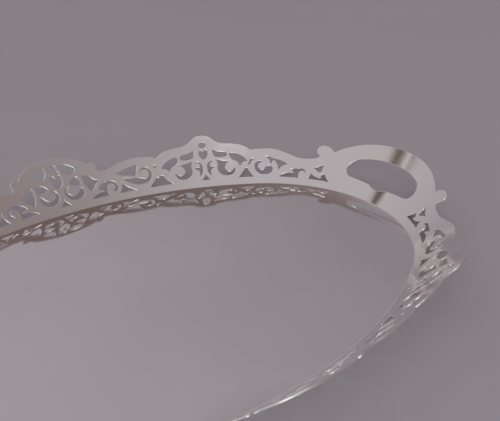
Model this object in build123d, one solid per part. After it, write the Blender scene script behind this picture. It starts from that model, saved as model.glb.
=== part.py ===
from build123d import *
import math
import os

os.makedirs("parts", exist_ok=True)

# Oval gallery tray, millimetres. +X is the east handle, +Y the north long side, +Z up.
# The origin is the middle of the underside of the floor plate.

# ---- driving dimensions ----
HALF_LENGTH = 220.0                  # floor oval, centre to gallery foot along the long axis
HALF_WIDTH = 151.0                   # the same across the tray
END_RADIUS = 120.5                   # small radius of the four-centre oval
LEAN = math.radians(45.1)            # gallery leans out from the vertical by this much
SHEET = 1.5                          # gallery sheet
FLOOR = 1.5                          # floor plate
FLOOR_LIP = 0.5                      # floor plate shows this much beyond the gallery foot
LIP_ROUND = 0.6                      # rounded lower edge of the floor plate
BAND = 7.5                           # solid band left under the piercing
BLANK = 60.0                         # slant height of the gallery before it is cut to outline
SKY = 75.0                           # the outline cutters reach up to this slant height
REACH = 16.0                         # every cutter goes this far either side of the sheet
STRAIGHT = 0.02                      # arcs flatter than this are drawn as lines

# ---- the oval that the gallery stands on ----
END_X = HALF_LENGTH - END_RADIUS
SIDE_RADIUS = (END_X**2 + HALF_WIDTH**2 - END_RADIUS**2) / (2 * (HALF_WIDTH - END_RADIUS))
SIDE_Y = HALF_WIDTH - SIDE_RADIUS
JOIN_ANGLE = math.atan2(-SIDE_Y, END_X)
JOIN_S = END_RADIUS * JOIN_ANGLE
QUARTER = JOIN_S + SIDE_RADIUS * (math.pi / 2 - JOIN_ANGLE)
FOOT = SHEET / math.cos(LEAN)        # the leaning sheet covers this much of the floor plate

# ---- pattern stations: s runs along the oval from the east handle, v up the slope ----
CREST_S = 163.2                      # middle of the pointed crest
SEAM_A = 120.4                       # handle panel meets crest panel
SEAM_B = 2 * CREST_S - SEAM_A        # crest panel meets dome panel


# Outlines are closed lists: corner, bulge point, corner, bulge point ... where the bulge
# point is the middle of the arc between two corners, and None means a straight edge.
def mirrored(half, middle):
    """Close a half outline by reflecting it about the station `middle`."""
    back = [None if p is None else (2 * middle - p[0], p[1]) for p in reversed(half)]
    return half + back[1:]


def flipped(outline, middle):
    """The same outline on the other side of the station `middle`."""
    return [None if p is None else (2 * middle - p[0], p[1]) for p in outline]


FINGER_HOLE = mirrored(
    [(0, 12.6), (4.6, 13.3), (9.2, 15.5), (19.5, 16.5), (28.7, 17.5), (34.1, 20.3), (35.7, 25.3),
     (33.6, 31.2), (26.8, 36.4), (14.4, 39.8), (0, 40.7)], 0.0)[:-1]

# scrolls between the finger hole and the first seam
HANDLE_SCROLLS = [
    [(47.1, BAND), (50.8, 10.7), (53.3, 14.7), None, (56.5, 12.6), (55.8, 11.2), (56.1, 9.6),
     (62.2, 10.8), (66.1, 14.2), (66.4, 10.4), (68.4, BAND), None],
    [(55.7, 24.5), (57.8, 23.0), (59.8, 21.8), (62.0, 20.1), (66.2, 19.1), (62.5, 17.9),
     (60.3, 16.1), (57.8, 15.9), (56.6, 18.3), (56.7, 21.5)],
    [(70.3, 12.0), (72.0, 15.8), (77.8, 16.8), (82.4, 16.5), (85.7, 15.5), (82.8, 13.9),
     (82.1, 11.3), (86.3, 12.1), (89.8, 11.0), (92.4, 9.8), (94.2, BAND), None,
     (76.7, BAND), (77.4, 11.1), (75.7, 14.6), (73.3, 15.0)],
    [(88.3, 20.8), (94.8, 24.8), (100.8, 26.5), (105.0, 28.6), (109.0, 28.1), (105.1, 26.3),
     (103.1, 21.4), None, (101.9, 21.4), (101.7, 23.7), (100.4, 24.9), (97.2, 20.6),
     (95.8, 14.4), (93.1, 18.3)],
    [(110.9, 24.2), (115.5, 22.4), (116.8, 17.3), (114.3, 11.8), (108.0, 10.0), (102.4, 11.7),
     (100.9, 15.6), (104.3, 18.8), (107.8, 15.9), (109.9, 14.4), (112.8, 15.6),
     (114.2, 18.5), (112.7, 21.7), (111.2, 22.6)],
]

# the two openings that the first seam runs through
SEAM_A_HOLES = [
    [(117.1, 26.0), (119.4, 26.8), (121.2, 24.6), (122.0, 23.0), (123.0, 21.8),
     (122.0, 20.6), (121.0, 21.0), (120.0, 23.6)],
    [(117.8, BAND), (120.4, 10.4), (121.6, 13.8), None, (123.1, 13.3), (122.9, 15.1),
     (123.6, 16.7), (124.8, 17.2), (126.2, 16.3), (129.1, 11.8), (132.5, BAND), None],
]

# left half of the crest, reflected about CREST_S
CREST_SCROLLS = [
    [(123.6, 24.6), (129.3, 31.0), (139.2, 34.7), (139.0, 30.2), (135.9, 26.1),
     (132.5, 23.9), (130.7, 19.4), (129.1, 22.2)],
    [(141.6, 31.7), (142.4, 34.5), (144.6, 36.0), (150.0, 37.1), (155.5, 39.9),
     (154.5, 36.4), (153.6, 31.7), (147.8, 30.3)],
    [(135.5, 19.0), (136.9, 12.5), (142.9, 10.3), (149.0, 12.8), (151.4, 19.1),
     (151.0, 23.8), (153.0, 29.1), (147.4, 26.8), (138.7, 26.3), (143.0, 23.3),
     (144.8, 18.6), (142.5, 14.8), (139.7, 14.1), (137.1, 16.0)],
    [(154.6, 27.5), (159.3, 25.6), (160.9, 20.1), (160.1, 14.8), (157.4, 11.4),
     (158.2, 14.8), (157.6, 18.1), (155.6, 18.9), (153.8, 20.5), (155.6, 21.1),
     (158.1, 20.9), (158.7, 23.6), (157.3, 25.6), (156.0, 26.2)],
]
CREST_HEART = mirrored(
    [(CREST_S, 35.9), None, (CREST_S - 0.9, 37.9), (CREST_S - 2.3, 39.3),
     (CREST_S - 3.7, 37.9), (CREST_S - 3.6, 33.4), (CREST_S, 28.9)], CREST_S)[:-1]
CREST_BELL = [(CREST_S - 2.6, 42.8), (CREST_S, 47.7), (CREST_S + 2.6, 42.8), (CREST_S, 41.8)]
CREST_DART = [(CREST_S - 4.2, BAND), (CREST_S - 1.5, 10.4), (CREST_S, 14.6),
              (CREST_S + 1.5, 10.4), (CREST_S + 4.2, BAND), None]

# the opening that the second seam runs through
SEAM_B_HOLES = [
    [(194.3, BAND), (199.7, 12.1), (202.8, 17.2), None, (205.7, 17.9), (206.3, 16.4),
     (206.7, 15.2), None, (208.5, 16.4), (212.3, 12.1), (216.3, BAND), None],
]

# scrolls between the second seam and the dome, then the left half of the dome itself
DOME_SCROLLS = [
    [(210.3, 30.0), (208.4, 29.0), (207.2, 25.6), (208.9, 27.0)],
    [(222.0, 23.0), (219.6, 28.6), (214.3, 26.5), (212.9, 19.7), (216.3, 14.0), (224.4, 12.4),
     (233.0, 15.7), (236.2, 17.9), (238.1, 21.4), (233.4, 20.2), (228.4, 19.6),
     (223.4, 18.7), (219.3, 16.9), (215.9, 18.7), (215.1, 22.4), (217.9, 26.9)],
    [(223.2, 33.1), (233.0, 30.9), (243.7, 27.4), (237.5, 24.5), (232.2, 23.5),
     (229.4, 22.0), (227.4, 21.4), (226.0, 26.5)],
    [(229.0, BAND), (235.6, 11.0), (241.5, 18.4), (241.9, 12.2), (244.5, BAND), None],
    [(250.2, 11.6), (246.4, 11.2), (245.4, 15.3), (247.6, 20.0), (253.1, 21.4),
     (258.8, 19.8), (262.8, 15.1), (259.8, 14.3), (257.1, 11.8), (261.6, 11.8),
     (270.5, BAND), None, (254.5, BAND), (255.7, 11.2), (254.5, 15.5),
     (252.1, 18.6), (248.6, 18.0), (247.4, 14.9)],
    [(259.8, 24.9), (263.9, 26.4), (267.3, 31.9), None, (272.8, 32.2), (272.4, 22.5),
     (269.5, 15.3), (265.7, 18.4), (263.4, 22.5), (261.6, 23.3)],
    [(276.0, 24.8), (276.4, 29.3), (278.5, 33.2), (282.5, 31.1), (285.4, 27.2),
     (281.3, 25.0)],
    [(277.5, 21.9), (275.2, 17.2), (278.7, 12.4), (284.2, 11.0), (289.6, 13.3),
     (292.1, 18.8), (289.6, 24.3), None, (287.2, 24.3), (289.8, 21.5), (288.8, 17.4),
     (284.6, 15.1), (280.5, 16.9), (278.9, 19.0)],
    [(276.7, 41.0), (281.5, 46.2), (288.6, 48.2), (288.2, 42.7), (284.6, 36.9),
     (279.7, 37.3)],
]
DOME_WINDOW = [(QUARTER - 3.6, 47.8), (QUARTER, 48.8), (QUARTER + 3.6, 47.8),
               (QUARTER + 3.2, 43.7), (QUARTER + 5, 40.2), (QUARTER, 41.6),
               (QUARTER - 5, 40.2), (QUARTER - 3.2, 43.7)]
DOME_HEART = mirrored(
    [(QUARTER, 35.2), None, (QUARTER - 1.0, 37.3), (QUARTER - 2.8, 38.7),
     (QUARTER - 4.6, 37.1), (QUARTER - 4.3, 31.1), (QUARTER, 25.0)], QUARTER)[:-1]
DOME_DART = [(QUARTER - 4.4, BAND), (QUARTER - 1.6, 10.2), (QUARTER, 13.9),
             (QUARTER + 1.6, 10.2), (QUARTER + 4.4, BAND), None]

# ---- upper outline of the gallery, as open chains of arcs that overlap at the seams ----
SEAM_A_TOP = [(115.1, 37.1), (117.8, 36.7), (SEAM_A, 36.6), (124.5, 40.0), (129.9, 42.8)]
ARCH_TOP = [
    (0, 56.5), (10.5, 56.1), (20.7, 54.4), (31.6, 50.9), (41.7, 45.4), (47.1, 41.8), (51.6, 37.8)]
CURL_TOP = [
    (41.7, 45.4), (47.1, 41.8), (51.6, 37.8), (53.7, 41.3), (56.8, 43.2), (62.8, 43.1),
    (65.5, 38.9), (65.0, 35.6), (62.1, 32.6), (63.4, 30.6), (66.9, 29.2), (75.0, 28.1), (83.2, 29.8)]
VALLEY_TOP = [
    (66.9, 29.2), (75.0, 28.1), (83.2, 29.8), (89.4, 32.5), (95.6, 35.3), (100.2, 36.8), (105.8, 37.3),
    (110.6, 37.3)] + SEAM_A_TOP
CREST_TOP = SEAM_A_TOP + [
    (137.0, 44.3), (144.0, 45.1), (149.5, 47.2), (154.1, 51.3), (158.1, 54.4), (CREST_S, 55.5)]
DOME_TOP = [
    (2 * CREST_S - 129.9, 42.8), (2 * CREST_S - 124.5, 40.0), (SEAM_B, 36.6), (209.9, 38.7),
    (214.3, 39.7), (222.4, 40.5), (230.4, 39.9), (236.5, 38.6), (242.5, 36.4), (248.6, 34.4),
    (254.7, 33.6), (257.2, 34.0), (259.2, 35.4), (258.4, 39.3), (259.4, 42.4), (262.0, 43.9),
    (265.5, 42.4), (268.7, 46.8), (273.0, 50.5), (278.1, 53.3), (283.6, 55.3), (289.2, 56.7),
    (QUARTER, 57.3)]


# ---- geometry helpers ----
def wall_frame(s):
    """Foot of the gallery at station s, and the outward direction there."""
    if abs(s) <= JOIN_S:
        angle = s / END_RADIUS
        foot = (END_X + END_RADIUS * math.cos(angle), END_RADIUS * math.sin(angle))
    else:
        angle = math.copysign(JOIN_ANGLE + (abs(s) - JOIN_S) / SIDE_RADIUS, s)
        side_y = math.copysign(SIDE_Y, -s)
        foot = (SIDE_RADIUS * math.cos(angle), side_y + SIDE_RADIUS * math.sin(angle))
    return foot, (math.cos(angle), math.sin(angle))


def wall_point(s, v):
    """Point on the inner face of the gallery."""
    foot, out = wall_frame(s)
    run = v * math.sin(LEAN)
    return Vector(foot[0] + run * out[0], foot[1] + run * out[1], FLOOR + v * math.cos(LEAN))


def tangent_plane(s, v):
    """Plane touching the inner face, with its normal through the sheet."""
    out = wall_frame(s)[1]
    normal = (out[0] * math.cos(LEAN), out[1] * math.cos(LEAN), -math.sin(LEAN))
    return Plane(origin=wall_point(s, v), x_dir=(-out[1], out[0], 0), z_dir=normal)


def arc_or_line(a, m, b):
    """Edge from a to b through m, or straight when m is None or the arc is nearly flat."""
    chord = b - a
    if m is None or abs((m - a).cross(chord).Z) < STRAIGHT * chord.length:
        return Line(a, b)
    return ThreePointArc(a, m, b)


def cutter(outline):
    """Prism that pierces the sheet squarely in the middle of a closed outline."""
    corners = [p for p in outline if p is not None]
    stations = [p[0] for p in corners]
    slants = [p[1] for p in corners]
    middle = ((min(stations) + max(stations)) / 2, (min(slants) + max(slants)) / 2)
    plane = tangent_plane(*middle).offset(-REACH)
    flat = []
    for p in outline + outline[:1]:
        if p is None:
            flat.append(None)
        else:
            local = plane.to_local_coords(wall_point(*p))
            flat.append(Vector(local.X, local.Y, 0))
    edges = [arc_or_line(*flat[i:i + 3]) for i in range(0, len(flat) - 2, 2)]
    return extrude(plane * make_face(edges), amount=2 * REACH)


def sky_cutter(chain):
    """Removes the blank above one stretch of the upper outline."""
    return cutter(chain + [None, (chain[-1][0], SKY), None, (chain[0][0], SKY), None])


def sky_cutters(chain):
    """The same for a long chain, two arcs at a time; neighbours share one arc."""
    return [sky_cutter(chain[i:i + 5]) for i in range(0, len(chain) - 3, 2)]


def end_cap_cutter(s, v):
    """Trims the blank above the arch across the middle of the handle."""
    return cutter([(s - 4, v), None, (s + 4, v), None, (s + 4, SKY), None, (s - 4, SKY), None])


def sector(radius, centre_x, centre_y, start, end):
    """Conical piece of the blank gallery between two directions (radians)."""
    slope = (math.sin(LEAN), math.cos(LEAN))
    inner = (radius, FLOOR)
    top = (radius + BLANK * slope[0], FLOOR + BLANK * slope[1])
    outer_top = (top[0] + SHEET * slope[1], top[1] - SHEET * slope[0])
    outer = (radius + FOOT, FLOOR)
    section = make_face(Plane.XZ * Polyline(inner, top, outer_top, outer, close=True))
    ring = revolve(section, Axis.Z, revolution_arc=math.degrees(end - start))
    return Pos(centre_x, centre_y, 0) * Rot(0, 0, math.degrees(start)) * ring


def both_ways(cutters, plane):
    return cutters + [mirror(c, about=plane) for c in cutters]


def pierce(blank, cutters):
    """Cuts one opening after another and keeps the panel without the shavings."""
    for tool in cutters:
        blank = blank - tool
    return max(blank.solids(), key=lambda piece: piece.volume)


def save(solid, node):
    solid.label = node
    export_step(solid, f"parts/{node}.step")


# ---- floor plate ----
def oval_face(margin):
    small = END_RADIUS + margin
    large = SIDE_RADIUS + margin
    corner = (END_X + small * math.cos(JOIN_ANGLE), small * math.sin(JOIN_ANGLE))
    east = ThreePointArc((corner[0], -corner[1]), (END_X + small, 0), corner)
    north = ThreePointArc(corner, (0, SIDE_Y + large), (-corner[0], corner[1]))
    west = mirror(east, about=Plane.YZ)
    south = mirror(north, about=Plane.XZ)
    return make_face([east, north, west, south])


floor_plate = extrude(oval_face(FOOT + FLOOR_LIP), amount=FLOOR)
floor_plate = fillet(floor_plate.edges().group_by(Axis.Z)[0], LIP_ROUND)
save(floor_plate, "floor_plate")

# ---- handle panels ----
seam_a_angle = JOIN_ANGLE + (SEAM_A - JOIN_S) / SIDE_RADIUS
end_blank = sector(END_RADIUS, END_X, 0, -JOIN_ANGLE, JOIN_ANGLE)
side_blank = sector(SIDE_RADIUS, 0, SIDE_Y, JOIN_ANGLE, seam_a_angle)
handle_blank = end_blank + side_blank + mirror(side_blank, about=Plane.XZ)
handle_cutters = [cutter(o) for o in HANDLE_SCROLLS + SEAM_A_HOLES]
handle_cutters += sky_cutters(ARCH_TOP) + [sky_cutter(CURL_TOP)] + sky_cutters(VALLEY_TOP)
handle_cutters = both_ways(handle_cutters, Plane.XZ)
handle_cutters += [cutter(FINGER_HOLE), end_cap_cutter(0, ARCH_TOP[0][1])]
handle_panel = pierce(handle_blank, handle_cutters)
save(handle_panel, "handle_panel_east")
save(mirror(handle_panel, about=Plane.YZ), "handle_panel_west")

# ---- crest panels ----
seam_b_angle = JOIN_ANGLE + (SEAM_B - JOIN_S) / SIDE_RADIUS
crest_blank = sector(SIDE_RADIUS, 0, SIDE_Y, seam_a_angle, seam_b_angle)
crest_half = CREST_SCROLLS
crest_outlines = crest_half + [flipped(o, CREST_S) for o in crest_half]
crest_outlines += [CREST_HEART, CREST_BELL, CREST_DART] + SEAM_A_HOLES + SEAM_B_HOLES
crest_cutters = [cutter(o) for o in crest_outlines]
crest_cutters += [sky_cutter(mirrored(CREST_TOP, CREST_S))]
crest_panel = pierce(crest_blank, crest_cutters)
save(crest_panel, "crest_panel_ne")
save(mirror(crest_panel, about=Plane.YZ), "crest_panel_nw")
crest_south = mirror(crest_panel, about=Plane.XZ)
save(crest_south, "crest_panel_se")
save(mirror(crest_south, about=Plane.YZ), "crest_panel_sw")

# ---- dome panels ----
dome_blank = sector(SIDE_RADIUS, 0, SIDE_Y, seam_b_angle, math.pi - seam_b_angle)
dome_cutters = [cutter(o) for o in DOME_SCROLLS + SEAM_B_HOLES]
dome_cutters = both_ways(dome_cutters, Plane.YZ)
dome_cutters += [cutter(DOME_WINDOW), cutter(DOME_HEART), cutter(DOME_DART)]
dome_cutters += [sky_cutter(mirrored(DOME_TOP, QUARTER))]
dome_panel = pierce(dome_blank, dome_cutters)
save(dome_panel, "dome_panel_north")
save(mirror(dome_panel, about=Plane.XZ), "dome_panel_south")
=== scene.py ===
import math

import bmesh
import bpy
from mathutils import Matrix, Vector


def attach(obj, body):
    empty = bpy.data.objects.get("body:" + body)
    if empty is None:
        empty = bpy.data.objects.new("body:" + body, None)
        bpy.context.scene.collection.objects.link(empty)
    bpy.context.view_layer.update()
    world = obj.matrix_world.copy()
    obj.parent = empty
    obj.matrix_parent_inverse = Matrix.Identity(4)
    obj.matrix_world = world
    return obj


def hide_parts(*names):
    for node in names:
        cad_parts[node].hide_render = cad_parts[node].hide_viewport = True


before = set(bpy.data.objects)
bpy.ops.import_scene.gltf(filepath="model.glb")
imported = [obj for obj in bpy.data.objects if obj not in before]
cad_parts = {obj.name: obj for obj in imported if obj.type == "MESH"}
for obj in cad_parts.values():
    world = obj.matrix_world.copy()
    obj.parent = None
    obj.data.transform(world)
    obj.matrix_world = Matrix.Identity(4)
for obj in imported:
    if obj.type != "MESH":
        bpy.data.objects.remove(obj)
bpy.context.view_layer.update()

# ---- driving dimensions, millimetres: the same oval, lean and pattern as the CAD ----
HALF_LENGTH = 220.0
HALF_WIDTH = 151.0
END_RADIUS = 120.5
LEAN = math.radians(45.1)  # of the gallery, outwards from upright
SHEET = 1.5
FLOOR = 1.5
FLOOR_LIP = 0.5          # the floor's rim shows this far outside the gallery
LIP_ROUND = 0.6          # rounding under the floor's rim
RIM_BREAK = 0.15         # softened edge on top of it
BAND = 7.5               # plain band under the openings
MM = 0.001

END_X = HALF_LENGTH - END_RADIUS
SIDE_RADIUS = (END_X**2 + HALF_WIDTH**2 - END_RADIUS**2) / (2 * (HALF_WIDTH - END_RADIUS))
SIDE_Y = HALF_WIDTH - SIDE_RADIUS
JOIN_ANGLE = math.atan2(-SIDE_Y, END_X)
JOIN_S = END_RADIUS * JOIN_ANGLE
QUARTER = JOIN_S + SIDE_RADIUS * (math.pi / 2 - JOIN_ANGLE)
FOOT = SHEET / math.cos(LEAN)

# stations along the foot of the gallery, from the middle of the east handle
CREST_S = 163.2
SEAM_A = 120.4           # handle panel to crest panel
SEAM_B = 2 * CREST_S - SEAM_A

# outlines of the sheet and its openings
ARC_STEP = 0.55          # longest step along an arc
ARC_TURN = 0.2           # and its largest turn, in radians
LEAST_STEPS = 3          # in an arc or a rounded corner
FLAT_ARC = 0.02          # arcs flatter than this are straight
SHARP = math.radians(25)        # corners that turn more than this are rounded
ROUND_STEP = math.radians(22)   # turn of one step in a rounded corner
CUSP = 0.35              # the ends of the openings are rounded this far from the corner
TIP_RADIUS = 0.6         # the points of metal are blunted to this radius
LONGEST_TIP = 1.5        # but never further back than this
CORNER_SHARE = 0.45      # of the way to the next corner, the most that a rounding takes
CLEARANCE = 0.05         # outline points closer than this to a rounding are left out
NUDGE = 0.04             # openings are not quite in line, which keeps the faces well shaped
NUDGE_TURN = 2.4         # radians from one opening's nudge to the next

# the flat strips and their bending
EDGE_ROUND = 0.5         # softened edges of the pierced sheet
EDGE_STEPS = 2           # Blender's bevel resolution for them
WELD = 0.001             # points closer than this are one
BEND_STEP = 2.5          # the strip is cut about this often before it is bent to the oval
FLAT_FACE = 0.999        # a face this square to the sheet belongs to its flat front or back
SOFT_ANGLE = math.radians(50)   # edges of the gallery up to this angle are shaded smooth

# swept rings: the floor and the solder
RING_POINTS = 360
RING_SOFT_ANGLE = math.radians(32)
LIP_STEPS = 6
FILLET = 1.1             # reach of the solder up the gallery and over the floor
FILLET_STEPS = 6
FILLET_RISE = 0.16       # its side along the floor rises this much towards the gallery
SUNK = 0.12              # the fillet starts this far inside the sheet and the floor

# the silver's noise: scales per metre, and the levels between which it takes effect
TONE_SCALE = 9.0
TONE_LEVELS = (0.35, 0.65)
SMEAR_SCALE = 26.0
SMEAR_STRETCH = (1.0, 3.0, 1.0)
SMEAR_LEVELS = (0.35, 0.7)
HAIR_SCALE = 900.0       # wiping scratches
HAIR_STRETCH = (1.0, 0.06, 1.0)
HAIR_DEPTH = 0.00001     # metres
WAVE_SCALE = 14.0
WAVE_DEPTH = 0.0006      # metres

# studio, metres
GROUND_HALF = 6.0        # half its width
GROUND_TONES = ((0.375, 0.36, 0.40), (0.405, 0.39, 0.43))
GROUND_SCALE = 3.0       # of the noise between its tones
GROUND_ROUGHNESS = 0.8

# sky: +x is east, +y is north
SKY_BRIGHT_SIDE = (-0.8, 0.1, 0.6)
SKY_CHANGE = (-0.4, 0.75)  # cosines from the bright side, where the change starts and ends
SKY_DIM = (0.262, 0.232, 0.257)
SKY_BRIGHT = (0.63, 0.55, 0.58)
# direction, degrees from it where the panel starts to fade and where it ends, colour
SOFT_PANELS = [
    ((0.70, -0.35, 0.62), 22, 50, (0.27, 0.222, 0.222)),
    ((0.36, 0.38, 0.86), 8, 19, (0.20, 0.157, 0.142)),
    ((-0.50, -0.78, 0.37), 14, 24, (2.4, 2.3, 2.2)),
    ((-0.08, -0.17, 0.98), 3, 8, (3.2, 3.1, 3.0)),
]
# azimuth in degrees from east towards north, half width, colour
WINDOW_BARS = [
    (115.5, 0.085, (0.27, 0.225, 0.19)),
    (118.6, 0.028, (0.07, 0.05, 0.042)),
    (113.4, 0.016, (0.9, 0.86, 0.82)),
    (111.6, 0.010, (0.13, 0.10, 0.085)),
]
BAR_FOOT = 0.615         # heights of the bars on a sky of radius 1
BAR_TOP = 0.745
BAR_FADE = 0.02          # their ends fade over this height
BAR_SOFTNESS = 0.2       # and their sides over this share of the half width, each way
BAR_SIDE = (0.2, 0.3)    # cosines from the azimuth that keep a bar off the far side of the sky

# camera at the photograph's place
CAMERA_SENSOR = 36.0     # millimetres
CAMERA_LENS = 46.01
CAMERA_PLACE = Vector((-0.16042, -0.36833, 0.24077))
CAMERA_AHEAD = Vector((0.51167, 0.74697, -0.42454))
CAMERA_RIGHT = Vector((0.81524, -0.57809, -0.03457))
CAMERA_UP = Vector((0.27125, 0.32841, 0.90475))


# ---- pattern: closed outlines of corner, bulge point, corner, ...; None means straight ----
# Each point is (station along the foot, height up the slope).
def mirrored(half, middle):
    """A chain that ends on its mirror line, continued by its mirror image."""
    back = [None if p is None else (2 * middle - p[0], p[1]) for p in reversed(half)]
    return half + back[1:]


def flipped(outline, middle):
    """The outline's mirror image about a station."""
    return [None if p is None else (2 * middle - p[0], p[1]) for p in outline]


FINGER_HOLE = mirrored(
    [(0, 12.6), (4.6, 13.3), (9.2, 15.5), (19.5, 16.5), (28.7, 17.5), (34.1, 20.3), (35.7, 25.3),
     (33.6, 31.2), (26.8, 36.4), (14.4, 39.8), (0, 40.7)], 0.0)[:-1]
HANDLE_SCROLLS = [
    [(47.1, BAND), (50.8, 10.7), (53.3, 14.7), None, (56.5, 12.6), (55.8, 11.2), (56.1, 9.6),
     (62.2, 10.8), (66.1, 14.2), (66.4, 10.4), (68.4, BAND), None],
    [(55.7, 24.5), (57.8, 23.0), (59.8, 21.8), (62.0, 20.1), (66.2, 19.1), (62.5, 17.9),
     (60.3, 16.1), (57.8, 15.9), (56.6, 18.3), (56.7, 21.5)],
    [(70.3, 12.0), (72.0, 15.8), (77.8, 16.8), (82.4, 16.5), (85.7, 15.5), (82.8, 13.9),
     (82.1, 11.3), (86.3, 12.1), (89.8, 11.0), (92.4, 9.8), (94.2, BAND), None,
     (76.7, BAND), (77.4, 11.1), (75.7, 14.6), (73.3, 15.0)],
    [(88.3, 20.8), (94.8, 24.8), (100.8, 26.5), (105.0, 28.6), (109.0, 28.1), (105.1, 26.3),
     (103.1, 21.4), None, (101.9, 21.4), (101.7, 23.7), (100.4, 24.9), (97.2, 20.6),
     (95.8, 14.4), (93.1, 18.3)],
    [(110.9, 24.2), (115.5, 22.4), (116.8, 17.3), (114.3, 11.8), (108.0, 10.0), (102.4, 11.7),
     (100.9, 15.6), (104.3, 18.8), (107.8, 15.9), (109.9, 14.4), (112.8, 15.6),
     (114.2, 18.5), (112.7, 21.7), (111.2, 22.6)],
]
SEAM_A_HOLES = [
    [(117.1, 26.0), (119.4, 26.8), (121.2, 24.6), (122.0, 23.0), (123.0, 21.8),
     (122.0, 20.6), (121.0, 21.0), (120.0, 23.6)],
    [(117.8, BAND), (120.4, 10.4), (121.6, 13.8), None, (123.1, 13.3), (122.9, 15.1),
     (123.6, 16.7), (124.8, 17.2), (126.2, 16.3), (129.1, 11.8), (132.5, BAND), None],
]
CREST_SCROLLS = [
    [(123.6, 24.6), (129.3, 31.0), (139.2, 34.7), (139.0, 30.2), (135.9, 26.1),
     (132.5, 23.9), (130.7, 19.4), (129.1, 22.2)],
    [(141.6, 31.7), (142.4, 34.5), (144.6, 36.0), (150.0, 37.1), (155.5, 39.9),
     (154.5, 36.4), (153.6, 31.7), (147.8, 30.3)],
    [(135.5, 19.0), (136.9, 12.5), (142.9, 10.3), (149.0, 12.8), (151.4, 19.1),
     (151.0, 23.8), (153.0, 29.1), (147.4, 26.8), (138.7, 26.3), (143.0, 23.3),
     (144.8, 18.6), (142.5, 14.8), (139.7, 14.1), (137.1, 16.0)],
    [(154.6, 27.5), (159.3, 25.6), (160.9, 20.1), (160.1, 14.8), (157.4, 11.4),
     (158.2, 14.8), (157.6, 18.1), (155.6, 18.9), (153.8, 20.5), (155.6, 21.1),
     (158.1, 20.9), (158.7, 23.6), (157.3, 25.6), (156.0, 26.2)],
]
CREST_CENTRE = [
    mirrored(
        [(CREST_S, 35.9), None, (CREST_S - 0.9, 37.9), (CREST_S - 2.3, 39.3),
         (CREST_S - 3.7, 37.9), (CREST_S - 3.6, 33.4), (CREST_S, 28.9)], CREST_S)[:-1],
    [(CREST_S - 2.6, 42.8), (CREST_S, 47.7), (CREST_S + 2.6, 42.8), (CREST_S, 41.8)],
    [(CREST_S - 4.2, BAND), (CREST_S - 1.5, 10.4), (CREST_S, 14.6),
     (CREST_S + 1.5, 10.4), (CREST_S + 4.2, BAND), None],
]
SEAM_B_HOLES = [
    [(194.3, BAND), (199.7, 12.1), (202.8, 17.2), None, (205.7, 17.9), (206.3, 16.4),
     (206.7, 15.2), None, (208.5, 16.4), (212.3, 12.1), (216.3, BAND), None],
]
DOME_SCROLLS = [
    [(210.3, 30.0), (208.4, 29.0), (207.2, 25.6), (208.9, 27.0)],
    [(222.0, 23.0), (219.6, 28.6), (214.3, 26.5), (212.9, 19.7), (216.3, 14.0), (224.4, 12.4),
     (233.0, 15.7), (236.2, 17.9), (238.1, 21.4), (233.4, 20.2), (228.4, 19.6),
     (223.4, 18.7), (219.3, 16.9), (215.9, 18.7), (215.1, 22.4), (217.9, 26.9)],
    [(223.2, 33.1), (233.0, 30.9), (243.7, 27.4), (237.5, 24.5), (232.2, 23.5),
     (229.4, 22.0), (227.4, 21.4), (226.0, 26.5)],
    [(229.0, BAND), (235.6, 11.0), (241.5, 18.4), (241.9, 12.2), (244.5, BAND), None],
    [(250.2, 11.6), (246.4, 11.2), (245.4, 15.3), (247.6, 20.0), (253.1, 21.4),
     (258.8, 19.8), (262.8, 15.1), (259.8, 14.3), (257.1, 11.8), (261.6, 11.8),
     (270.5, BAND), None, (254.5, BAND), (255.7, 11.2), (254.5, 15.5),
     (252.1, 18.6), (248.6, 18.0), (247.4, 14.9)],
    [(259.8, 24.9), (263.9, 26.4), (267.3, 31.9), None, (272.8, 32.2), (272.4, 22.5),
     (269.5, 15.3), (265.7, 18.4), (263.4, 22.5), (261.6, 23.3)],
    [(276.0, 24.8), (276.4, 29.3), (278.5, 33.2), (282.5, 31.1), (285.4, 27.2),
     (281.3, 25.0)],
    [(277.5, 21.9), (275.2, 17.2), (278.7, 12.4), (284.2, 11.0), (289.6, 13.3),
     (292.1, 18.8), (289.6, 24.3), None, (287.2, 24.3), (289.8, 21.5), (288.8, 17.4),
     (284.6, 15.1), (280.5, 16.9), (278.9, 19.0)],
    [(276.7, 41.0), (281.5, 46.2), (288.6, 48.2), (288.2, 42.7), (284.6, 36.9),
     (279.7, 37.3)],
]
DOME_CENTRE = [
    [(QUARTER - 3.6, 47.8), (QUARTER, 48.8), (QUARTER + 3.6, 47.8), (QUARTER + 3.2, 43.7),
     (QUARTER + 5, 40.2), (QUARTER, 41.6), (QUARTER - 5, 40.2), (QUARTER - 3.2, 43.7)],
    mirrored(
        [(QUARTER, 35.2), None, (QUARTER - 1.0, 37.3), (QUARTER - 2.8, 38.7),
         (QUARTER - 4.6, 37.1), (QUARTER - 4.3, 31.1), (QUARTER, 25.0)], QUARTER)[:-1],
    [(QUARTER - 4.4, BAND), (QUARTER - 1.6, 10.2), (QUARTER, 13.9),
     (QUARTER + 1.6, 10.2), (QUARTER + 4.4, BAND), None],
]

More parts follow.
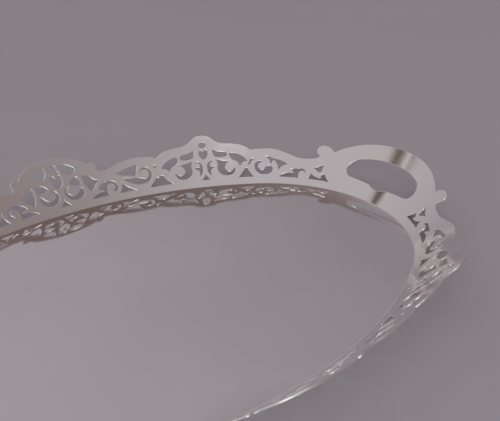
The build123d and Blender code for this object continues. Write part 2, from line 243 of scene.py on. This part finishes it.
# upper outlines, each running past its seams
SEAM_A_TOP = [(115.1, 37.1), (117.8, 36.7), (SEAM_A, 36.6), (124.5, 40.0), (129.9, 42.8)]
HANDLE_TOP = [
    (0, 56.5), (10.5, 56.1), (20.7, 54.4), (31.6, 50.9), (41.7, 45.4), (47.1, 41.8), (51.6, 37.8),
    (53.7, 41.3), (56.8, 43.2), (62.8, 43.1), (65.5, 38.9), (65.0, 35.6), (62.1, 32.6),
    (63.4, 30.6), (66.9, 29.2), (75.0, 28.1), (83.2, 29.8), (89.4, 32.5), (95.6, 35.3),
    (100.2, 36.8), (105.8, 37.3), (110.6, 37.3)] + SEAM_A_TOP + [(137.0, 44.3), (144.0, 45.1)]
CREST_TOP = [(105.8, 37.3), (110.6, 37.3)] + SEAM_A_TOP + [
    (137.0, 44.3), (144.0, 45.1), (149.5, 47.2), (154.1, 51.3), (158.1, 54.4), (CREST_S, 55.5)]
DOME_TOP = [
    (2 * CREST_S - 144.0, 45.1), (2 * CREST_S - 137.0, 44.3),
    (2 * CREST_S - 129.9, 42.8), (2 * CREST_S - 124.5, 40.0), (SEAM_B, 36.6), (209.9, 38.7),
    (214.3, 39.7), (222.4, 40.5), (230.4, 39.9), (236.5, 38.6), (242.5, 36.4), (248.6, 34.4),
    (254.7, 33.6), (257.2, 34.0), (259.2, 35.4), (258.4, 39.3), (259.4, 42.4), (262.0, 43.9),
    (265.5, 42.4), (268.7, 46.8), (273.0, 50.5), (278.1, 53.3), (283.6, 55.3), (289.2, 56.7),
    (QUARTER, 57.3)]


def wall_frame(s):
    """Foot of the gallery at station s, and the outward direction there."""
    if abs(s) <= JOIN_S:
        angle = s / END_RADIUS
        foot = (END_X + END_RADIUS * math.cos(angle), END_RADIUS * math.sin(angle))
    else:
        angle = math.copysign(JOIN_ANGLE + (abs(s) - JOIN_S) / SIDE_RADIUS, s)
        side_y = math.copysign(SIDE_Y, -s)
        foot = (SIDE_RADIUS * math.cos(angle), side_y + SIDE_RADIUS * math.sin(angle))
    return foot, (math.cos(angle), math.sin(angle))


def bent(s, v, depth):
    """Place on the tray of a point of the flat strip: station, height up the slope, depth
    behind the inner face. The foot of the strip is cut level with the floor."""
    foot, out = wall_frame(s)
    run = v * math.sin(LEAN) + depth * math.cos(LEAN)
    rise = FLOOR + v * math.cos(LEAN) - depth * math.sin(LEAN)
    if depth > 0 and v <= 0:
        run = depth / math.cos(LEAN)
        rise = FLOOR
    return Vector((foot[0] + run * out[0], foot[1] + run * out[1], rise)) * MM


def bent_normal(s, normal):
    """Direction on the tray of a direction of the flat strip, at station s."""
    out = wall_frame(s)[1]
    along = Vector((-out[1], out[0], 0.0))
    up = Vector((out[0] * math.sin(LEAN), out[1] * math.sin(LEAN), math.cos(LEAN)))
    behind = Vector((out[0] * math.cos(LEAN), out[1] * math.cos(LEAN), -math.sin(LEAN)))
    return (along * normal.x + up * normal.y + behind * normal.z).normalized()


# ---- flat strips ----
def arc_points(a, m, b):
    """Points from a (included) to b (left out) along the arc through m."""
    a, b = Vector(a), Vector(b)
    chord = b - a
    if m is not None:
        m = Vector(m)
        flatness = abs((m - a).x * chord.y - (m - a).y * chord.x) / chord.length
    if m is None or flatness < FLAT_ARC:
        return [a]
    ax, ay, bx, by, mx, my = a.x, a.y, b.x, b.y, m.x, m.y
    d = 2 * (ax * (my - by) + mx * (by - ay) + bx * (ay - my))
    aa, mm, bb = ax * ax + ay * ay, mx * mx + my * my, bx * bx + by * by
    centre = Vector(((aa * (my - by) + mm * (by - ay) + bb * (ay - my)) / d,
                     (aa * (bx - mx) + mm * (ax - bx) + bb * (mx - ax)) / d))
    start = math.atan2(ay - centre.y, ax - centre.x)
    middle = math.atan2(my - centre.y, mx - centre.x)
    end = math.atan2(by - centre.y, bx - centre.x)
    turn = (end - start) % (2 * math.pi)
    if (middle - start) % (2 * math.pi) > turn:
        turn -= 2 * math.pi
    radius = (a - centre).length
    steps = max(LEAST_STEPS, math.ceil(abs(turn) * radius / ARC_STEP),
                math.ceil(abs(turn) / ARC_TURN))
    return [centre + radius * Vector((math.cos(start + turn * i / steps),
                                      math.sin(start + turn * i / steps)))
            for i in range(steps)]


def sampled(outline, is_hole):
    """Points round a closed outline, with its sharp corners rounded."""
    points = []
    for i in range(0, len(outline), 2):
        points += arc_points(outline[i], outline[i + 1], outline[(i + 2) % len(outline)])
    following = points[1:] + points[:1]
    turning_left = sum(a.x * b.y - b.x * a.y for a, b in zip(points, following)) > 0
    corners = []
    for i, p in enumerate(points):
        before, after = p - points[i - 1], following[i] - p
        turn = math.atan2(before.x * after.y - before.y * after.x, before.dot(after))
        if abs(turn) > SHARP:
            is_metal = ((turn > 0) == turning_left) != is_hole
            reach = CUSP
            if is_metal:
                reach = min(LONGEST_TIP, TIP_RADIUS * math.tan(abs(turn) / 2))
            corners.append((i, max(reach, CUSP)))
    return round_corners(points, corners)


def round_corners(points, corners):
    """Replaces each (index, reach) corner of a closed polyline with a small arc."""
    if not corners:
        return points
    start = corners[0][0]
    ring = points[start:] + points[:start] + [points[start]]
    at = [0.0]
    for a, b in zip(ring, ring[1:]):
        at.append(at[-1] + (b - a).length)
    total = at[-1]

    def along(distance):
        """Point at a distance round the ring."""
        distance %= total
        k = max(i for i, d in enumerate(at) if d <= distance)
        k = min(k, len(ring) - 2)
        return ring[k].lerp(ring[k + 1], (distance - at[k]) / (at[k + 1] - at[k]))

    places = [at[i - start] for i, _ in corners]
    result = []
    for k, (place, (index, reach)) in enumerate(zip(places, corners)):
        ahead = places[k + 1] if k + 1 < len(places) else total
        behind = place - places[k - 1] if k > 0 else total - places[-1]
        reach = min(reach, CORNER_SHARE * (ahead - place), CORNER_SHARE * behind)
        first, last = along(place - reach), along(place + reach)
        into = (points[index] - first).normalized()
        out_of = (last - points[index]).normalized()
        swing = math.atan2(into.x * out_of.y - into.y * out_of.x, into.dot(out_of))
        steps = max(LEAST_STEPS, math.ceil(abs(swing) / ROUND_STEP))
        headings = [swing * (j + 0.5) / steps for j in range(steps)]
        chords = [Vector((into.x * math.cos(h) - into.y * math.sin(h),
                          into.x * math.sin(h) + into.y * math.cos(h))) for h in headings]
        chord_length = (last - first).length / sum(chords, Vector((0, 0))).length
        result.append(first)
        for chord in chords:
            result.append(result[-1] + chord * chord_length)
        next_reach = corners[(k + 1) % len(corners)][1]
        stop = ahead - min(next_reach, CORNER_SHARE * (ahead - place))
        result += [q for q, d in zip(ring, at)
                   if place + reach + CLEARANCE < d < stop - CLEARANCE]
    return result


def sheet_outline(top):
    """Closed outline of a strip under an upper chain."""
    return top + [None, (top[-1][0], 0.0), None, (top[0][0], 0.0), None]


def flat_strip(name, outlines):
    """Flat sheet with holes and softened edges, as a mesh: x along the foot, y up the slope,
    z through the sheet from its middle."""
    curve = bpy.data.curves.new(name, "CURVE")
    curve.dimensions = "2D"
    curve.fill_mode = "BOTH"
    curve.extrude = SHEET / 2 - EDGE_ROUND
    curve.bevel_depth = EDGE_ROUND
    curve.bevel_resolution = EDGE_STEPS
    curve.offset = -EDGE_ROUND
    for i, outline in enumerate(outlines):
        nudge = Vector((0, NUDGE * math.sin(NUDGE_TURN * i)))
        points = [point + nudge for point in sampled(outline, is_hole=i > 0)]
        spline = curve.splines.new("POLY")
        spline.points.add(len(points) - 1)
        for target, point in zip(spline.points, points):
            target.co = (point.x, point.y, 0.0, 1.0)
        spline.use_cyclic_u = True
    holder = bpy.data.objects.new(name + "_curve", curve)
    bpy.context.scene.collection.objects.link(holder)
    depsgraph = bpy.context.evaluated_depsgraph_get()
    mesh = bpy.data.meshes.new_from_object(holder.evaluated_get(depsgraph))
    bpy.data.objects.remove(holder)
    bpy.data.curves.remove(curve)
    return mesh


def cut_and_trim(mesh, start, end):
    """Keeps what lies between two stations, with flat ends, and cuts it across for bending."""
    bm = bmesh.new()
    bm.from_mesh(mesh)
    bmesh.ops.remove_doubles(bm, verts=bm.verts, dist=WELD)
    for station, side in ((start, -1), (end, 1)):
        everything = bm.verts[:] + bm.edges[:] + bm.faces[:]
        cut = bmesh.ops.bisect_plane(bm, geom=everything, plane_co=(station, 0, 0),
                                     plane_no=(side, 0, 0), clear_outer=True)
        edges = [e for e in cut["geom_cut"] if isinstance(e, bmesh.types.BMEdge)]
        bmesh.ops.edgenet_fill(bm, edges=edges)
    count = max(2, round((end - start) / BEND_STEP))
    for i in range(1, count):
        station = start + (end - start) * i / count
        everything = bm.verts[:] + bm.edges[:] + bm.faces[:]
        bmesh.ops.bisect_plane(bm, geom=everything, plane_co=(station, 0, 0),
                               plane_no=(1, 0, 0))
    bmesh.ops.triangulate(bm, faces=[f for f in bm.faces if len(f.verts) > 4])
    bmesh.ops.recalc_face_normals(bm, faces=bm.faces)
    bm.to_mesh(mesh)
    bm.free()


def bend_to_wall(mesh, mirror_x, mirror_y):
    """Bends the flat strip onto the leaning oval, with exact normals, and mirrors it."""
    mesh.polygons.foreach_set("use_smooth", [True] * len(mesh.polygons))
    mesh.set_sharp_from_angle(angle=SOFT_ANGLE)
    flat_face = {}
    for face in mesh.polygons:
        if abs(face.normal.z) > FLAT_FACE:
            for index in face.vertices:
                flat_face[index] = Vector((0, 0, math.copysign(1, face.normal.z)))
    sign = Vector((-1 if mirror_x else 1, -1 if mirror_y else 1, 1))
    normals = []
    for loop, corner in zip(mesh.loops, mesh.corner_normals):
        station = mesh.vertices[loop.vertex_index].co.x
        normal = flat_face.get(loop.vertex_index, corner.vector)
        normals.append(bent_normal(station, normal) * sign)
    for vertex in mesh.vertices:
        depth = vertex.co.z + SHEET / 2
        vertex.co = bent(vertex.co.x, vertex.co.y, depth) * sign
    if mirror_x != mirror_y:
        # one mirror turns the faces inside out; turning them back keeps each first corner
        # and reverses the others, and the normals have to follow
        turned = normals[:]
        for face in mesh.polygons:
            ring = range(face.loop_start, face.loop_start + face.loop_total)
            for k, index in enumerate(ring):
                turned[index] = normals[ring[-k]]
        normals = turned
        mesh.flip_normals()
    mesh.normals_split_custom_set([tuple(n) for n in normals])


def panel(node, outlines, start, end, mirror_x=False, mirror_y=False):
    """One gallery panel between two stations, in place of its CAD node."""
    mesh = flat_strip(node, outlines)
    cut_and_trim(mesh, start, end)
    bend_to_wall(mesh, mirror_x, mirror_y)
    obj = bpy.data.objects.new(node + "_sheet", mesh)
    bpy.context.scene.collection.objects.link(obj)
    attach(obj, "root")
    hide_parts(node)
    return obj


# ---- materials ----
def node_material(name):
    material = bpy.data.materials.new(name)
    material.use_nodes = True
    tree = material.node_tree
    return material, tree, tree.nodes["Principled BSDF"]


def noise(tree, coords, scale, detail=3.0, stretch=None):
    """Noise in the given coordinates. Stretch scales them, so it is finer along an axis where
    stretch is above 1, and drawn out where it is below."""
    source = coords
    if stretch is not None:
        mapping = tree.nodes.new("ShaderNodeMapping")
        mapping.inputs["Scale"].default_value = stretch
        tree.links.new(coords, mapping.inputs["Vector"])
        source = mapping.outputs["Vector"]
    node = tree.nodes.new("ShaderNodeTexNoise")
    node.inputs["Scale"].default_value = scale
    node.inputs["Detail"].default_value = detail
    tree.links.new(source, node.inputs["Vector"])
    return node.outputs["Fac"]


def ramp(tree, value, low, high, low_out, high_out):
    """Takes low..high to low_out..high_out, and holds it there beyond."""
    node = tree.nodes.new("ShaderNodeMapRange")
    node.inputs["From Min"].default_value = low
    node.inputs["From Max"].default_value = high
    node.inputs["To Min"].default_value = low_out
    node.inputs["To Max"].default_value = high_out
    tree.links.new(value, node.inputs["Value"])
    return node.outputs["Result"]


def mix_colour(tree, factor, first, second):
    """The first colour where factor is 0, the second where it is 1."""
    node = tree.nodes.new("ShaderNodeMix")
    node.data_type = "RGBA"
    node.inputs["A"].default_value = (*first, 1.0)
    node.inputs["B"].default_value = (*second, 1.0)
    tree.links.new(factor, node.inputs["Factor"])
    return node.outputs["Result"]


def silver(name, bright, warm, rough_low, rough_high, wave, scratch):
    """Polished silver plate: patches of warmer tone, wiping scratches and gentle waviness."""
    material, tree, shader = node_material(name)
    coords = tree.nodes.new("ShaderNodeTexCoord").outputs["Object"]
    shader.inputs["Metallic"].default_value = 1.0
    tone = ramp(tree, noise(tree, coords, TONE_SCALE), *TONE_LEVELS, 0.0, 1.0)
    tree.links.new(mix_colour(tree, tone, bright, warm), shader.inputs["Base Color"])
    smears = noise(tree, coords, SMEAR_SCALE, detail=5.0, stretch=SMEAR_STRETCH)
    roughness = ramp(tree, smears, *SMEAR_LEVELS, rough_low, rough_high)
    tree.links.new(roughness, shader.inputs["Roughness"])
    hair = noise(tree, coords, HAIR_SCALE, detail=2.0, stretch=HAIR_STRETCH)
    broad = noise(tree, coords, WAVE_SCALE, detail=1.0)
    fine_bump = tree.nodes.new("ShaderNodeBump")
    fine_bump.inputs["Strength"].default_value = scratch
    fine_bump.inputs["Distance"].default_value = HAIR_DEPTH
    tree.links.new(hair, fine_bump.inputs["Height"])
    bump = tree.nodes.new("ShaderNodeBump")
    bump.inputs["Strength"].default_value = wave
    bump.inputs["Distance"].default_value = WAVE_DEPTH
    tree.links.new(broad, bump.inputs["Height"])
    tree.links.new(fine_bump.outputs["Normal"], bump.inputs["Normal"])
    tree.links.new(bump.outputs["Normal"], shader.inputs["Normal"])
    return material


FLOOR_SILVER = silver("floor_silver", bright=(0.78, 0.752, 0.775), warm=(0.75, 0.713, 0.735),
                      rough_low=0.035, rough_high=0.09, wave=0.03, scratch=0.2)
GALLERY_SILVER = silver("gallery_silver", bright=(0.91, 0.88, 0.88), warm=(0.88, 0.83, 0.82),
                        rough_low=0.07, rough_high=0.14, wave=0.03, scratch=0.2)


# ---- the gallery ----
def sides(outlines, middle):
    """The outlines and their mirror images about a station."""
    return outlines + [flipped(o, middle) for o in outlines]


# each list starts with the sheet's own outline, which runs past the panel's seams
handle_outlines = [sheet_outline(mirrored(flipped(HANDLE_TOP, 0)[::-1], 0)), FINGER_HOLE]
handle_outlines += sides(HANDLE_SCROLLS + SEAM_A_HOLES, 0)
crest_outlines = [sheet_outline(mirrored(CREST_TOP, CREST_S))] + CREST_CENTRE
crest_outlines += sides(CREST_SCROLLS, CREST_S) + SEAM_A_HOLES + SEAM_B_HOLES
dome_outlines = [sheet_outline(mirrored(DOME_TOP, QUARTER))] + DOME_CENTRE
dome_outlines += sides(DOME_SCROLLS + SEAM_B_HOLES, QUARTER)

gallery = [
    panel("handle_panel_east", handle_outlines, -SEAM_A, SEAM_A),
    panel("handle_panel_west", handle_outlines, -SEAM_A, SEAM_A, mirror_x=True),
    panel("crest_panel_ne", crest_outlines, SEAM_A, SEAM_B),
    panel("crest_panel_nw", crest_outlines, SEAM_A, SEAM_B, mirror_x=True),
    panel("crest_panel_se", crest_outlines, SEAM_A, SEAM_B, mirror_y=True),
    panel("crest_panel_sw", crest_outlines, SEAM_A, SEAM_B, mirror_x=True, mirror_y=True),
    panel("dome_panel_north", dome_outlines, SEAM_B, 2 * QUARTER - SEAM_B),
    panel("dome_panel_south", dome_outlines, SEAM_B, 2 * QUARTER - SEAM_B, mirror_y=True),
]
for obj in gallery:
    obj.data.materials.append(GALLERY_SILVER)


# ---- the floor and the solder ----
def oval_ring(margin, height):
    """Points round the oval at the foot of the gallery, pushed out by margin."""
    ring = []
    for i in range(RING_POINTS):
        station = -2 * QUARTER + 4 * QUARTER * (i + 0.5) / RING_POINTS
        quadrant_s = min(abs(station), 2 * QUARTER - abs(station))
        foot, out = wall_frame(quadrant_s)
        x = foot[0] + margin * out[0]
        y = foot[1] + margin * out[1]
        if abs(station) > QUARTER:
            x = -x
        if station < 0:
            y = -y
        ring.append(Vector((x, y, height)) * MM)
    return ring


def ring_mesh(name, profile, closed):
    """Sweeps (margin, height) points round the oval. An open profile's first and last rings
    are filled with flat faces."""
    bm = bmesh.new()
    rings = [[bm.verts.new(p) for p in oval_ring(*point)] for point in profile]
    pairs = list(zip(rings, rings[1:]))
    if closed:
        pairs.append((rings[-1], rings[0]))
    for low, high in pairs:
        for i in range(len(low)):
            j = (i + 1) % len(low)
            bm.faces.new((low[i], low[j], high[j], high[i]))
    if not closed:
        bm.faces.new(rings[0][::-1])
        bm.faces.new(rings[-1])
    bmesh.ops.recalc_face_normals(bm, faces=bm.faces)
    mesh = bpy.data.meshes.new(name)
    bm.to_mesh(mesh)
    bm.free()
    mesh.polygons.foreach_set("use_smooth", [True] * len(mesh.polygons))
    mesh.set_sharp_from_angle(angle=RING_SOFT_ANGLE)
    obj = bpy.data.objects.new(name, mesh)
    bpy.context.scene.collection.objects.link(obj)
    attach(obj, "root")
    return obj


edge = FOOT + FLOOR_LIP
floor_profile = []
for i in range(LIP_STEPS + 1):
    turn = math.pi / 2 * i / LIP_STEPS
    floor_profile.append((edge - LIP_ROUND + LIP_ROUND * math.sin(turn),
                          LIP_ROUND - LIP_ROUND * math.cos(turn)))
floor_profile += [(edge, FLOOR - RIM_BREAK), (edge - RIM_BREAK, FLOOR)]
floor_piece = ring_mesh("floor_plate_sheet", floor_profile, closed=False)
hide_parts("floor_plate")
floor_piece.data.materials.append(FLOOR_SILVER)

# concave fillet of solder inside the gallery foot: a curve drawn between two straight sides,
# one along the floor and one up the gallery
fillet_top = (FILLET * math.sin(LEAN) + SUNK * math.cos(LEAN),
              FLOOR + FILLET * math.cos(LEAN) - SUNK * math.sin(LEAN))
fillet_profile = [(SUNK, FLOOR - SUNK), (-FILLET, FLOOR - SUNK)]
for i in range(1, FILLET_STEPS):
    share = i / FILLET_STEPS
    low = (-FILLET * (1 - share), FLOOR - SUNK + FILLET_RISE * share)
    high = (fillet_top[0] * share, FLOOR + (fillet_top[1] - FLOOR) * share)
    fillet_profile.append((low[0] * (1 - share) + high[0] * share,
                           low[1] * (1 - share) + high[1] * share))
fillet_profile.append(fillet_top)
fillet = ring_mesh("solder_fillet", fillet_profile, closed=True)
fillet.data.materials.append(GALLERY_SILVER)

# ---- studio ----
ground_mesh = bpy.data.meshes.new("ground")
ground_bm = bmesh.new()
bmesh.ops.create_grid(ground_bm, x_segments=1, y_segments=1, size=GROUND_HALF)
ground_bm.to_mesh(ground_mesh)
ground_bm.free()
ground = bpy.data.objects.new("ground", ground_mesh)
bpy.context.scene.collection.objects.link(ground)
ground_material, ground_tree, ground_shader = node_material("studio_floor")
ground_coords = ground_tree.nodes.new("ShaderNodeTexCoord").outputs["Object"]
ground_tone = noise(ground_tree, ground_coords, GROUND_SCALE)
ground_colour = mix_colour(ground_tree, ground_tone, *GROUND_TONES)
ground_tree.links.new(ground_colour, ground_shader.inputs["Base Color"])
ground_shader.inputs["Roughness"].default_value = GROUND_ROUGHNESS
ground.data.materials.append(ground_material)

# ---- sky: one soft dome, brighter in the west, with soft panels and bars to be mirrored ----
world = bpy.data.worlds.new("studio")
bpy.context.scene.world = world
world.use_nodes = True
sky_tree = world.node_tree
sky_coords = sky_tree.nodes.new("ShaderNodeTexCoord").outputs["Generated"]


def facing(direction):
    """Cosine between a sky direction and the given one."""
    node = sky_tree.nodes.new("ShaderNodeVectorMath")
    node.operation = "DOT_PRODUCT"
    sky_tree.links.new(sky_coords, node.inputs[0])
    node.inputs[1].default_value = Vector(direction).normalized()
    return node.outputs["Value"]


def tinted(colour, mask, tint):
    """The sky's colour so far, replaced by tint where the mask is 1."""
    node = sky_tree.nodes.new("ShaderNodeMix")
    node.data_type = "RGBA"
    sky_tree.links.new(mask, node.inputs["Factor"])
    sky_tree.links.new(colour, node.inputs["A"])
    node.inputs["B"].default_value = (*tint, 1.0)
    return node.outputs["Result"]


def soft_panel(colour, direction, inner, outer, tint):
    """Round soft patch of sky: full inside inner degrees, gone beyond outer."""
    mask = ramp(sky_tree, facing(direction), math.cos(math.radians(outer)),
                math.cos(math.radians(inner)), 0.0, 1.0)
    return tinted(colour, mask, tint)


def window_bar(colour, azimuth, half_width, tint):
    """Short upright bar about half way up the sky."""
    turn = math.radians(azimuth)
    across = sky_tree.nodes.new("ShaderNodeMath")
    across.operation = "ABSOLUTE"
    sky_tree.links.new(facing((math.sin(turn), -math.cos(turn), 0)), across.inputs[0])
    sky_height = facing((0, 0, 1))
    bounds = [
        ramp(sky_tree, across.outputs["Value"], half_width * (1 - BAR_SOFTNESS),
             half_width * (1 + BAR_SOFTNESS), 1.0, 0.0),
        ramp(sky_tree, facing((math.cos(turn), math.sin(turn), 0)), *BAR_SIDE, 0.0, 1.0),
        ramp(sky_tree, sky_height, BAR_FOOT - BAR_FADE, BAR_FOOT, 0.0, 1.0),
        ramp(sky_tree, sky_height, BAR_TOP, BAR_TOP + BAR_FADE, 1.0, 0.0)]
    mask = bounds[0]
    for bound in bounds[1:]:
        product = sky_tree.nodes.new("ShaderNodeMath")
        product.operation = "MULTIPLY"
        sky_tree.links.new(mask, product.inputs[0])
        sky_tree.links.new(bound, product.inputs[1])
        mask = product.outputs["Value"]
    return tinted(colour, mask, tint)


westward = ramp(sky_tree, facing(SKY_BRIGHT_SIDE), *SKY_CHANGE, 0.0, 1.0)
sky = mix_colour(sky_tree, westward, SKY_DIM, SKY_BRIGHT)
for direction, inner, outer, tint in SOFT_PANELS:
    sky = soft_panel(sky, direction, inner, outer, tint)
for azimuth, half_width, tint in WINDOW_BARS:
    sky = window_bar(sky, azimuth, half_width, tint)
background = sky_tree.nodes["Background"]
sky_tree.links.new(sky, background.inputs["Color"])
background.inputs["Strength"].default_value = 1.0


def area_light(name, place, target, size, power, tint):
    """Round area light at a place, pointed at a target."""
    data = bpy.data.lights.new(name, "AREA")
    data.shape = "DISK"
    data.size = size
    data.energy = power
    data.color = tint
    obj = bpy.data.objects.new(name, data)
    bpy.context.scene.collection.objects.link(obj)
    obj.location = place
    obj.rotation_euler = (Vector(target) - Vector(place)).to_track_quat("-Z", "Y").to_euler()


area_light("key", place=(-1.1, -1.6, 1.05), target=(0, 0, 0), size=0.7, power=9.0,
           tint=(1.0, 0.97, 0.95))

# ---- camera ----
camera_data = bpy.data.cameras.new("camera")
camera_data.sensor_width = CAMERA_SENSOR
camera_data.lens = CAMERA_LENS
camera_data.clip_start = 0.01
camera = bpy.data.objects.new("camera", camera_data)
bpy.context.scene.collection.objects.link(camera)
camera_axes = Matrix((CAMERA_RIGHT, CAMERA_UP, -CAMERA_AHEAD)).transposed()
camera.matrix_world = Matrix.Translation(CAMERA_PLACE) @ camera_axes.to_4x4()
bpy.context.scene.camera = camera
